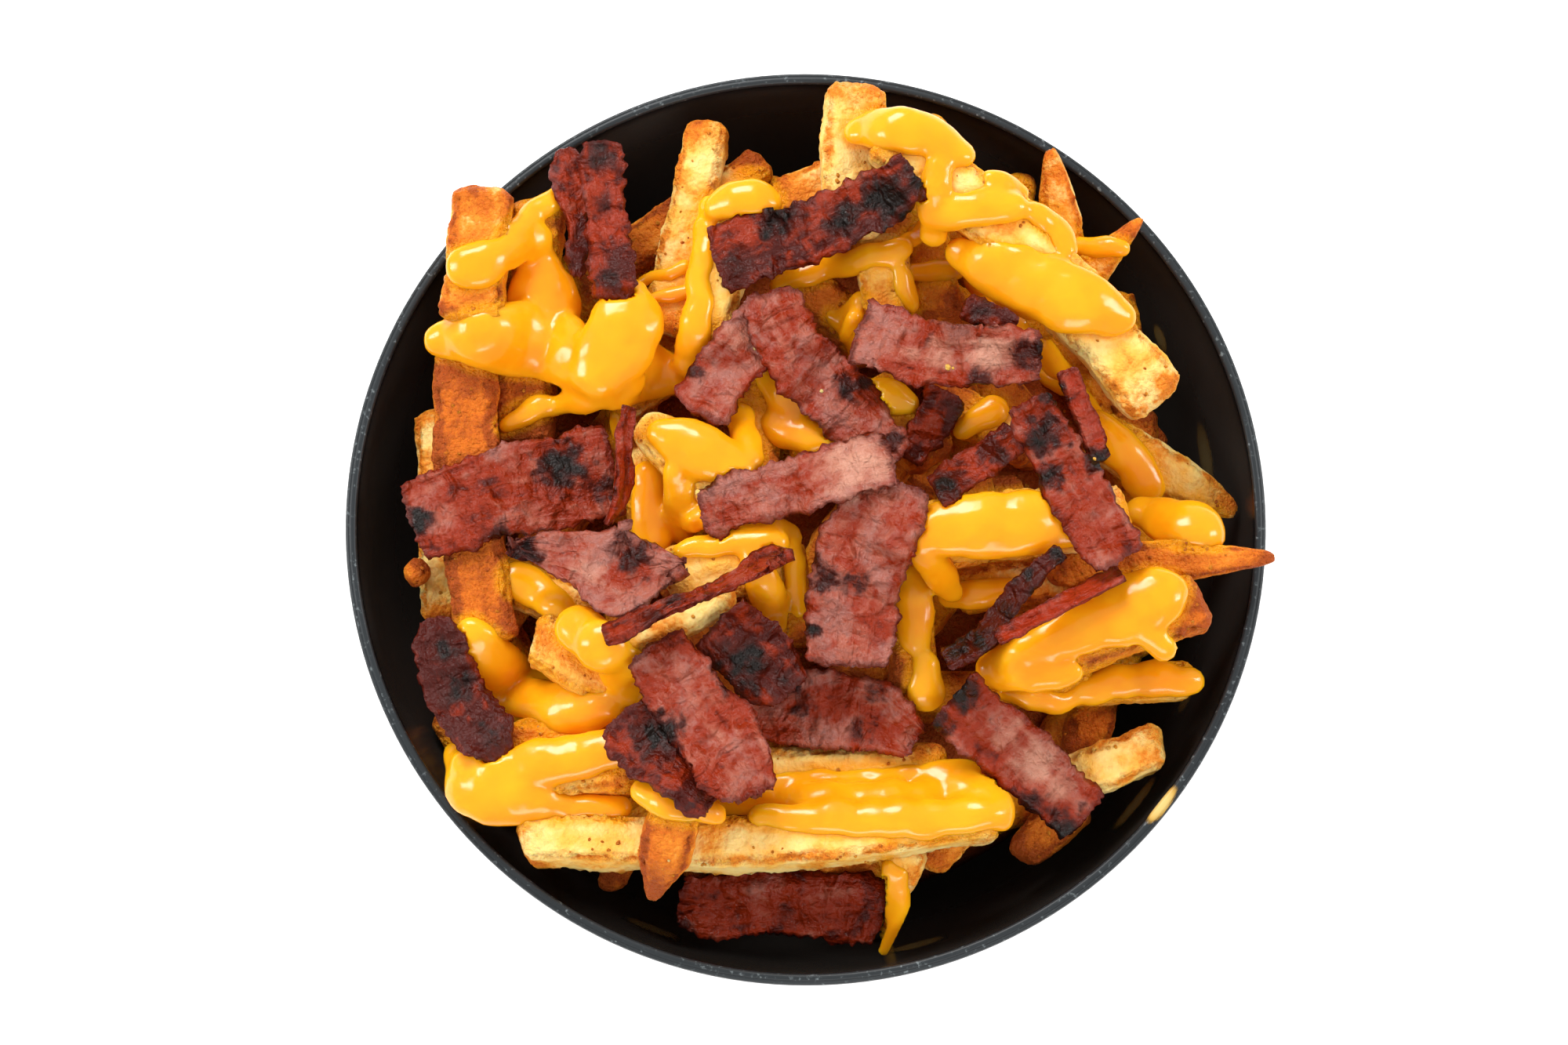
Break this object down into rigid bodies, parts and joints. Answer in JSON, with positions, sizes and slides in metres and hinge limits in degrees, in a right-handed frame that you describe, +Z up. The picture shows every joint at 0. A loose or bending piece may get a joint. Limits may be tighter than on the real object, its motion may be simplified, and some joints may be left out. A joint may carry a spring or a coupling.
{
  "type": "cheese fries",
  "caption": "Round black bowl heaped with thick coated fries, melted cheese sauce and strips of browned bacon.",
  "frame": {"origin": "middle of the bowl's foot, on the surface it stands on", "axes": "+Z up out of the bowl; -Y towards the viewer of the picture, +X to the viewer's right"},
  "size_m": [0.1707, 0.17, 0.0914],
  "materials": {
    "bowl": "glossy black melamine",
    "fries": "crisp fried coating under orange cheese sauce",
    "bacon": "cooked, slightly greasy"
  },
  "bodies": {
    "root": {"bowl": "bowl", "fries_heap": "fries", "bacon_under_front": "bacon", "bacon_left_wall": "bacon", "bacon_top_left_edge": "bacon", "bacon_top_left": "bacon", "bacon_dark_slip": "bacon", "bacon_red_tongue": "bacon", "bacon_dark_edge": "bacon", "bacon_high_dark": "bacon", "bacon_dark_ridge": "bacon", "bacon_red_ridge": "bacon", "bacon_left_big": "bacon", "bacon_left_fold": "bacon", "bacon_leaf": "bacon", "bacon_long_sliver": "bacon", "bacon_left_peak": "bacon", "bacon_right_peak": "bacon", "bacon_upper_right": "bacon", "bacon_top_dark": "bacon", "bacon_right_slope": "bacon", "bacon_front_middle": "bacon", "bacon_dark_middle": "bacon", "bacon_under_dark": "bacon", "bacon_front_pink": "bacon", "bacon_centre_down": "bacon", "bacon_centre_bar": "bacon", "bacon_front_right": "bacon"}
  },
  "joints": []
}
